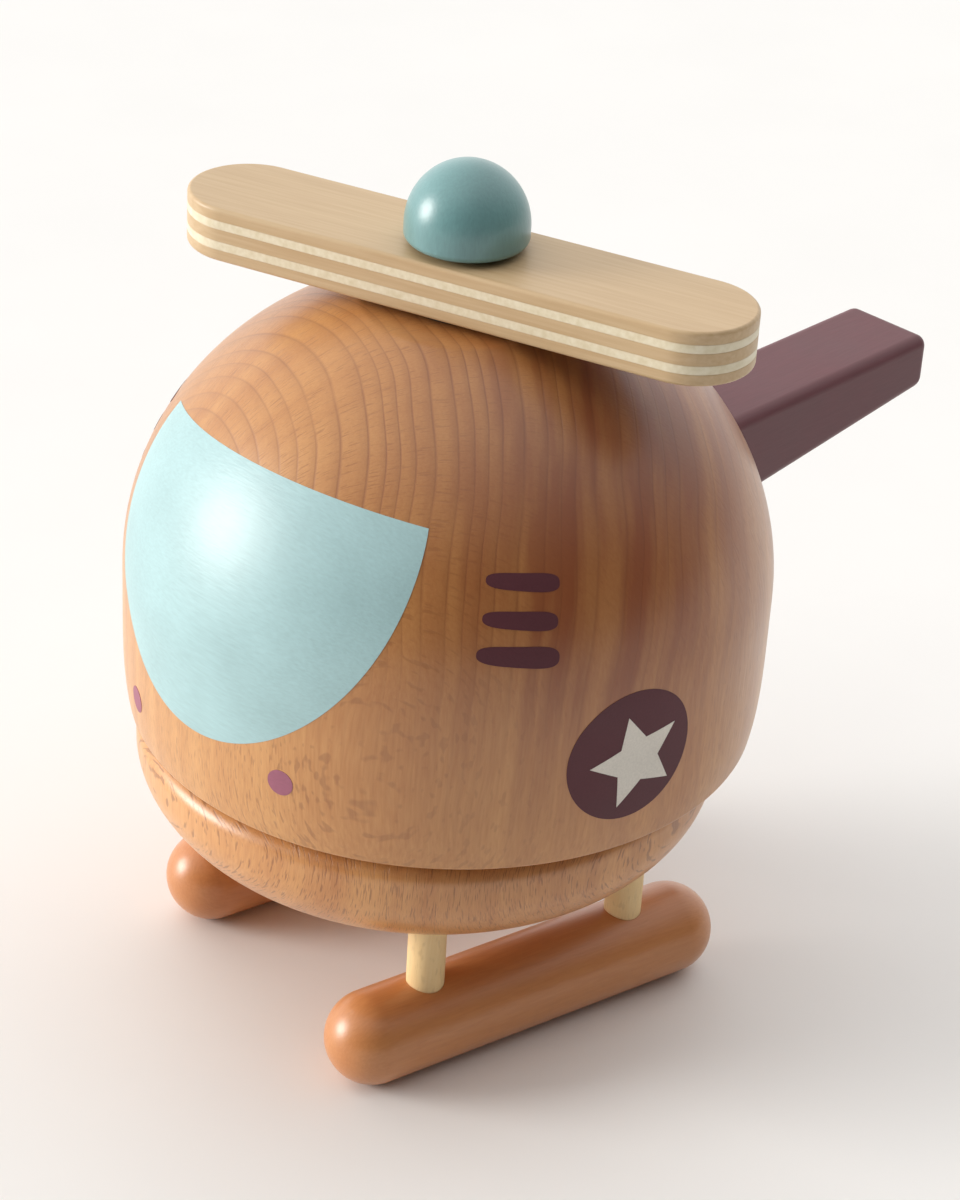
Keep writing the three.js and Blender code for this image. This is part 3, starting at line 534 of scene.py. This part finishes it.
def dowel_shape(radius, low, high):
    """A rod along +Y from the cabin's axis."""
    verts, faces = lathe([(0, low), (radius, low), (radius, high), (0, high)], 64, 0, 0)
    return [(x, z, TAIL_DOWEL_Z - y) for x, y, z in verts], faces


def cabin_frame():
    """From the cabin's own frame, with its nose towards -Y, to the toy's."""
    return Matrix.Translation((AXIS_X, AXIS_Y, 0)) @ Matrix.Rotation(CABIN_YAW, 4, "Z")


def build_cabin():
    hole_r, hole_z = AXLE_HOLE
    top = [(hole_r, CABIN_TOP_Z), (hole_r, hole_z), (0, hole_z)]
    shape = lathe([(0, CAVITY[0][1]), *CAVITY, *cabin_outline(), *top])
    shell = add_object("cabin_turned", shape)
    tail_hole = moved(dowel_shape(TAIL_DOWEL_R, *TAIL_DOWEL_Y), cabin_frame())
    carve(shell, moved(tail_shape(TAIL_CLEARANCE), cabin_frame()), tail_hole)
    finish_piece(shell, "cabin", MATERIALS["beech_lacquered"], "beech_lacquered", "cabin_shell")

    tail = add_object("tail_painted", moved(tail_shape(), cabin_frame()))
    carve(tail, tail_hole)
    finish_piece(tail, "cabin", MATERIALS["purple_paint"], "purple_paint", "tail_boom")


# ---------- The base, legs and skids ----------
LEG_PLACES = {
    f"leg_{end}_{side}": (sx * SKID_SPREAD, SKID_SHIFT + sy * LEG_REACH)
    for side, sx in (("left", 1), ("right", -1))
    for end, sy in (("front", -1), ("rear", 1))
}


def leg_rod(place, radius, low, high, chamfer=0.0):
    """A rod that stands at place, with its ends chamfered or square."""
    wall = [(radius, low), (radius, high)]
    if chamfer:
        wall = [(radius - chamfer, low), (radius, low + chamfer)]
        wall += [(radius, high - chamfer), (radius - chamfer, high)]
    return lathe([(0, low), *wall, (0, high)], 64, AXIS_X + place[0], AXIS_Y + place[1])


def base_radius(z):
    return BASE_R * math.sqrt(1 - ((BASE_WIDEST_Z - z) / BASE_DEPTH) ** 2)


def build_base():
    steps = 48
    lowest = BASE_BOTTOM_Z + FOOT_BEVEL[1]
    bowl = []
    for i in range(steps + 1):
        z = lowest + (BASE_WIDEST_Z - lowest) * (i / steps) ** 1.4  # closer together low down
        bowl.append((base_radius(z), z))
    rim = arc((BASE_R - BASE_RIM, BASE_TOP_Z - BASE_RIM), BASE_RIM, 0, 90, 14)
    recess_r, recess_z = PLUG_RECESS
    nut_r, nut_z = NUT_RECESS
    foot = [(0, BASE_BOTTOM_Z), (bowl[0][0] - FOOT_BEVEL[0], BASE_BOTTOM_Z)]
    outside = [*foot, *bowl, *rim, (0, BASE_TOP_Z)]
    centre = (AXIS_X + BASE_OFFSET[0], AXIS_Y + BASE_OFFSET[1])
    base = add_object("base_turned", lathe(outside, 256, *centre))
    hollow = [(0, BASE_BOTTOM_Z - 1), (recess_r, BASE_BOTTOM_Z - 1), (recess_r, recess_z)]
    hollow += [(SPINDLE_BORE_R, recess_z), (SPINDLE_BORE_R, nut_z), (nut_r, nut_z)]
    hollow += [(nut_r, BASE_TOP_Z + 1), (0, BASE_TOP_Z + 1)]
    carve(base, lathe(hollow, 96))
    for place in LEG_PLACES.values():
        carve(base, leg_rod(place, DOWEL_R + LEG_CLEARANCE, 10, LEG_Z[1] + LEG_HOLE_END))
    finish_piece(base, "chassis", BASE_WOOD, "beech_lacquered", "base_bowl")

    for name, place in LEG_PLACES.items():
        leg = add_object(f"{name}_dowel", leg_rod(place, DOWEL_R, *LEG_Z, 0.4))
        finish_piece(leg, "chassis", MATERIALS["birch"], "birch", name)


def build_skids():
    axis_z = math.sqrt(SKID_R**2 - (SKID_FLAT / 2) ** 2)
    front = arc((0, -SKID_HALF), SKID_R, -90, 0, 24)
    rear = arc((0, SKID_HALF), SKID_R, 0, 90, 24)
    profile = [(0, -SKID_HALF - SKID_R), *front[1:], *rear[:-1], (0, SKID_HALF + SKID_R)]
    lying = Matrix.Rotation(-math.pi / 2, 4, "X")
    for side, sx in (("left", 1), ("right", -1)):
        centre = Matrix.Translation((AXIS_X + sx * SKID_SPREAD, AXIS_Y + SKID_SHIFT, axis_z))
        skid = add_object(f"skid_{side}_rod", moved(lathe(profile, 96, 0, 0), centre @ lying))
        places = [place for name, place in LEG_PLACES.items() if name.endswith(side)]
        hole_z = LEG_Z[0] - LEG_HOLE_END
        carve(skid, *[leg_rod(place, DOWEL_R + LEG_CLEARANCE, hole_z, 30) for place in places])
        work = bmesh.new()
        work.from_mesh(skid.data)
        everything = work.verts[:] + work.edges[:] + work.faces[:]
        cut = bmesh.ops.bisect_plane(
            work, geom=everything, plane_co=(0, 0, 0), plane_no=(0, 0, -1), clear_outer=True
        )
        border = [e for e in cut["geom_cut"] if isinstance(e, bmesh.types.BMEdge)]
        bmesh.ops.holes_fill(work, edges=border)
        work.to_mesh(skid.data)
        work.free()
        finish_piece(skid, "chassis", MATERIALS["beech_dark"], "beech_dark", f"skid_{side}")


# ---------- The rotor and its hub ----------


def stadium(inset):
    """Points round the blade's outline, pulled in by inset."""
    radius = ROTOR_WIDTH / 2 - inset
    reach = (ROTOR_LENGTH - ROTOR_WIDTH) / 2
    right = arc((reach, 0), radius, -90, 90, 40)
    left = arc((-reach, 0), radius, 90, 270, 40)
    straight = [reach * (1 - 2 * i / 24) for i in range(1, 24)]
    top = [(x, radius) for x in straight]
    bottom = [(-x, -radius) for x in straight]
    return right + top + left + bottom


def build_rotor():
    low, high = ROTOR_Z
    arris = [(ROTOR_ARRIS * (1 - math.cos(a)), ROTOR_ARRIS * (1 - math.sin(a))) for a in quarter_turn(5)]
    levels = [(low + rise, inset) for rise, inset in arris]
    for z in PLIES:
        levels += [(z - 0.08, 0.0), (z, 0.05), (z + 0.08, 0.0)]
    levels += [(high - rise, inset) for rise, inset in reversed(arris)]
    verts = [(x, y, z) for z, inset in levels for x, y in stadium(inset)]
    count = len(stadium(0))
    faces = walls(len(levels), count)
    hole = len(verts)
    for z in (low, high):
        for x, y in stadium(0):
            size = math.hypot(x, y)
            verts.append((ROTOR_HOLE_R * x / size, ROTOR_HOLE_R * y / size, z))
    last = (len(levels) - 1) * count
    for i in range(count):
        j = (i + 1) % count
        faces.append([i, hole + i, hole + j, j])
        faces.append([last + i, last + j, hole + count + j, hole + count + i])
        faces.append([hole + i, hole + count + i, hole + count + j, hole + j])
    turn = Matrix.Translation((AXIS_X, AXIS_Y, 0)) @ Matrix.Rotation(ROTOR_YAW, 4, "Z")
    blade = add_object("rotor_plywood", moved((verts, faces), turn))
    finish_piece(blade, "rotor", MATERIALS["plywood"], "plywood", "rotor_blade")


def build_hub():
    bottom, wall_low, wall_high, top = HUB_Z
    lip = wall_low - bottom
    edge = arc((HUB_R - lip, wall_low), lip, -90, 0, 10)
    steps = 40
    dome = []
    for i in range(steps):
        angle = math.pi / 2 * i / steps
        dome.append((HUB_R * math.cos(angle), wall_high + (top - wall_high) * math.sin(angle)))
    socket_r = AXLE_HOLE[0]
    socket = [(0, HUB_SOCKET_Z), (socket_r, HUB_SOCKET_Z), (socket_r, bottom)]
    profile = [*socket, *edge, *dome, (0, top)]
    hub = add_object("hub_cap_turned", lathe(profile, 128))
    finish_piece(hub, "cabin", HUB_PAINT, "teal_paint", "hub_cap")


def ring_profile(inner, outer, low, high, edge):
    """A ring of rectangular section with chamfered outer edges, or a disc where inner is 0."""
    outside = [(outer - edge, low), (outer, low + edge), (outer, high - edge), (outer - edge, high)]
    return [(inner, low), *outside, (inner, high)]


def build_rings():
    """The plug under the base, the ring the cabin glides on and the rotor's washers."""
    # Each one's body, slot, and inner radius, outer radius, lowest point, highest point and chamfer.
    pieces = {
        "base_plug": ("chassis", "beech_lacquered", (0, 8.7, 20.6, 24, 0.4)),
        "glide_ring": ("chassis", "nylon", (8, 14, BASE_TOP_Z + 0.1, 48.8, 0.3)),
        "rotor_washer_lower": ("cabin", "felt", (4.3, 8, 116.1, 116.9, 0.2)),
        "rotor_washer_upper": ("cabin", "felt", (4.3, 7, 125.6, 126.2, 0.15)),
    }
    for node_name, (body, slot, sizes) in pieces.items():
        ring = add_object(f"{node_name}_fine", lathe(ring_profile(*sizes), 128))
        finish_piece(ring, body, MATERIALS[slot], slot, node_name)


# ---------- The painted marks ----------
FILM = 0.05  # thickness of the paint
FILM_ROOT = 0.02  # how far it is keyed into the wood
PRINT_TURN = -2  # of all the marks from the line of the tail, in degrees


def on_cabin(angle, z, lift):
    """A point over the cabin, with its angle in degrees from the nose towards the toy's left."""
    step = 0.01
    slope = (cabin_radius(z + step) - cabin_radius(z - step)) / (2 * step)
    out = Vector((1, -slope)).normalized()
    radius = cabin_radius(z) + lift * out[0]
    turn = math.radians(angle + PRINT_TURN) + CABIN_YAW
    return (AXIS_X + radius * math.sin(turn), AXIS_Y - radius * math.cos(turn), z + lift * out[1])


def add_film(name, outline, centre, material, slot, lift=FILM, rings=16):
    """A film of paint inside an outline of (angle, z) points that all see its centre."""
    count = len(outline)
    verts, faces = [], []
    for side_lift in (lift, -FILM_ROOT):
        start = len(verts)
        verts.append(on_cabin(*centre, side_lift))
        for k in range(1, rings + 1):
            share = k / rings
            for angle, z in outline:
                at = (centre[0] + (angle - centre[0]) * share, centre[1] + (z - centre[1]) * share)
                verts.append(on_cabin(*at, side_lift))
        for i in range(count):
            j = (i + 1) % count
            faces.append([start, start + 1 + i, start + 1 + j])
            for k in range(rings - 1):
                inner, outer = start + 1 + k * count, start + 1 + (k + 1) * count
                faces.append([inner + i, outer + i, outer + j, inner + j])
    top, bottom = 1 + (rings - 1) * count, 1 + rings * count + 1 + (rings - 1) * count
    for i in range(count):
        j = (i + 1) % count
        faces.append([top + i, bottom + i, bottom + j, top + j])
    film = add_object(name, (verts, faces))
    finish_piece(film, "cabin", material, slot)


def rounded_outline(shape, centre, lean=0.0):
    """An outline in millimetres about centre, turned by lean degrees, as (angle, z) points."""
    cos, sin = math.cos(math.radians(lean)), math.sin(math.radians(lean))
    per_degree = math.radians(1) * cabin_radius(centre[1])
    points = []
    for x, y in shape:
        points.append((centre[0] + (x * cos - y * sin) / per_degree, centre[1] + x * sin + y * cos))
    return points


WINDSCREEN_ANGLE = 42
WINDSCREEN_MIDDLE = -1
WINDSCREEN_LEAN = 0.024  # rise in millimetres for each degree towards the toy's left
WINDSCREEN_BOTTOM_Z = 61.2
WINDSCREEN_CORNER_Z = 98.9
WINDSCREEN_CENTRE_Z = 84
WINDSCREEN_CROWN = 2.5  # rise of its top edge between the corners


def build_windscreen():
    tall = WINDSCREEN_CORNER_Z - WINDSCREEN_BOTTOM_Z
    side = []
    steps = 60
    for i in range(steps + 1):
        t = 1 - math.cos(math.pi / 2 * i / steps)
        spread = math.sqrt(max(0.0, 1 - (1 - t) ** 1.5))
        side.append((WINDSCREEN_ANGLE * spread, WINDSCREEN_BOTTOM_Z + tall * t))
    crown = []
    for i in range(1, 60):
        share = 1 - 2 * i / 60
        crown.append((WINDSCREEN_ANGLE * share, WINDSCREEN_CORNER_Z + WINDSCREEN_CROWN * (1 - share**2)))
    other = [(-angle, z) for angle, z in side[:0:-1]]
    outline = []
    for angle, z in side + crown + other:
        outline.append((WINDSCREEN_MIDDLE + angle, z + WINDSCREEN_LEAN * angle))
    middle = (WINDSCREEN_MIDDLE, WINDSCREEN_CENTRE_Z)
    add_film("windscreen_paint", outline, middle, MATERIALS["teal_paint"], "teal_paint", rings=28)


def bar_shape(length, thick):
    """A hand-brushed bar: blunt at its rear end and a little narrower at the front."""
    points = []
    for i in range(72):
        angle = 2 * math.pi * i / 72
        x, y = math.cos(angle), math.sin(angle)
        along = math.copysign(abs(x) ** 0.45, x)
        across = math.copysign(abs(y) ** 0.75, y) * (1 + 0.14 * along)
        points.append((length / 2 * along, thick / 2 * across))
    return points


def star_shape(outer, inner):
    points = []
    for i in range(10):
        radii = (outer, inner) if i % 2 == 0 else (inner, outer)
        a, b = (math.radians(90 + 36 * (i + k)) for k in (0, 1))
        start = Vector((radii[0] * math.cos(a), radii[0] * math.sin(a)))
        end = Vector((radii[1] * math.cos(b), radii[1] * math.sin(b)))
        points += [tuple(start.lerp(end, k / 6)) for k in range(6)]
    return points


def circle(radius, steps=96):
    return arc((0, 0), radius, 0, 360 - 360 / steps, steps - 1)


HEADLIGHTS = {"left": (18.6, 59.4), "right": (-21.5, 56.3)}
HEADLIGHT_R = 2.1
# Each bar's angle, height, length and thickness.
BARS = [(59.2, 93.9, 10.6, 2.2), (58.4, 89.1, 10.9, 2.4), (57.9, 84.25, 12.0, 2.9)]
BAR_LEAN = -5
ROUNDEL = (79.4, 65.35)
ROUNDEL_R = 10.75
STAR_SHIFT = (0.9, -1.0)
STAR_R = (8.0, 3.8)
STAR_LEAN = 15


def build_marks():
    build_windscreen()
    for side, sign in (("left", 1), ("right", -1)):

        def placed(shape, centre, lean=0.0):
            return [(sign * angle, z) for angle, z in rounded_outline(shape, centre, lean)]

        headlight = rounded_outline(circle(HEADLIGHT_R, 48), HEADLIGHTS[side])
        add_film(f"headlight_{side}", headlight, HEADLIGHTS[side], DOT_PAINT, "purple_paint", rings=6)
        for i, (angle, z, length, thick) in enumerate(BARS):
            bar = placed(bar_shape(length, thick), (angle, z), BAR_LEAN)
            add_film(f"bar_{side}_{i + 1}", bar, (sign * angle, z), MARK_PAINT, "purple_paint", rings=8)
        middle = (sign * ROUNDEL[0], ROUNDEL[1])
        roundel = placed(circle(ROUNDEL_R), ROUNDEL)
        add_film(f"roundel_{side}", roundel, middle, MARK_PAINT, "purple_paint")
        star_centre = rounded_outline([STAR_SHIFT], ROUNDEL)[0]
        star = placed(star_shape(*STAR_R), star_centre, STAR_LEAN)
        at = (sign * star_centre[0], star_centre[1])
        add_film(f"star_{side}", star, at, STAR_PAINT, "teal_paint", lift=2 * FILM, rings=10)


build_cabin()
build_base()
build_skids()
build_rotor()
build_hub()
build_rings()
build_marks()

# ---------- Floor, light and camera ----------
FLOOR_REACH = 8000


def build_floor():
    f = Finish("floor")
    dust = f.noise(f.place(), 0.02, 3.0)
    f.feed("Base Color", f.mix(dust, srgb("efeeec"), srgb("f5f4f2")))
    f.feed("Roughness", f.math("ADD", f.math("MULTIPLY", dust, 0.1), 0.6))
    corners = [(x * FLOOR_REACH, y * FLOOR_REACH, 0) for x, y in ((-1, -1), (1, -1), (1, 1), (-1, 1))]
    floor = add_object("floor", (corners, [[0, 1, 2, 3]]))
    floor.data.materials.append(f.material)


def direction(azimuth, elevation):
    """A unit vector: azimuth 0 is in front of the toy and 90 on its left."""
    a, e = math.radians(azimuth), math.radians(elevation)
    return Vector((math.sin(a) * math.cos(e), -math.cos(a) * math.cos(e), math.sin(e)))


WINDOW = (-34, 14)  # the azimuth and elevation that its light comes from
WINDOW_STRENGTH = 2.9
WINDOW_SPREAD = 26  # as seen from the toy, in degrees
WINDOW_COLOUR = (1.0, 0.98, 0.95)


def build_window():
    light = bpy.data.lights.new("window", "SUN")
    light.energy = WINDOW_STRENGTH
    light.angle = math.radians(WINDOW_SPREAD)
    light.color = WINDOW_COLOUR
    obj = bpy.data.objects.new("window", light)
    obj.rotation_mode = "QUATERNION"
    obj.rotation_quaternion = direction(*WINDOW).to_track_quat("Z", "Y")
    bpy.context.scene.collection.objects.link(obj)


BRIGHT_SIDE = (-110, 45)  # the azimuth and elevation at which the room is brightest
ROOM_FADE = (-0.25, 0.75)  # cosines from there at which it is dimmest and at which it is brightest
ROOM_STRENGTH = (0.03, 1.25)  # at its dimmest and at its brightest


def build_surroundings():
    """A pale room that is brightest high on the toy's right and dimmest low on its left."""
    world = bpy.data.worlds.new("room")
    bpy.context.scene.world = world
    world.use_nodes = True
    tree = world.node_tree
    coords = tree.nodes.new("ShaderNodeTexCoord")
    towards = tree.nodes.new("ShaderNodeVectorMath")
    towards.operation = "DOT_PRODUCT"
    towards.inputs[1].default_value = direction(*BRIGHT_SIDE)
    shade = tree.nodes.new("ShaderNodeMapRange")
    shade.interpolation_type = "SMOOTHSTEP"
    for socket, value in zip(("From Min", "From Max", "To Min", "To Max"), ROOM_FADE + ROOM_STRENGTH):
        shade.inputs[socket].default_value = value
    tree.links.new(coords.outputs["Generated"], towards.inputs[0])
    tree.links.new(towards.outputs["Value"], shade.inputs["Value"])
    background = tree.nodes["Background"]
    background.inputs["Color"].default_value = (1.0, 0.99, 0.98, 1)
    tree.links.new(shade.outputs["Result"], background.inputs["Strength"])


VIEW_AZIMUTH = 54.15
VIEW_ELEVATION = 30.55
VIEW_ROLL = 3.55
VIEW_DISTANCE = 497.5
VIEW_HEIGHT = 65.5  # of the point in the middle of the view
VIEW_ASIDE = 5.2  # and how far right of the cabin's axis it is
LENS = 96.14


def build_camera():
    back = direction(VIEW_AZIMUTH, VIEW_ELEVATION)
    level = Vector((0, 0, 1)).cross(back).normalized()
    upright = back.cross(level)
    roll = math.radians(VIEW_ROLL)
    right = level * math.cos(roll) + upright * math.sin(roll)
    up = upright * math.cos(roll) - level * math.sin(roll)
    aim = Vector((AXIS_X, AXIS_Y, VIEW_HEIGHT)) + level * VIEW_ASIDE
    place = (aim + back * VIEW_DISTANCE) * MM
    camera = bpy.data.objects.new("camera", bpy.data.cameras.new("camera"))
    camera.data.lens = LENS
    camera.data.sensor_width = 36
    camera.data.clip_start = 0.01
    camera.matrix_world = Matrix.Translation(place) @ Matrix((right, up, back)).transposed().to_4x4()
    bpy.context.scene.collection.objects.link(camera)
    bpy.context.scene.camera = camera


build_floor()
build_surroundings()
build_window()
build_camera()
bpy.context.scene.view_settings.view_transform = "Standard"
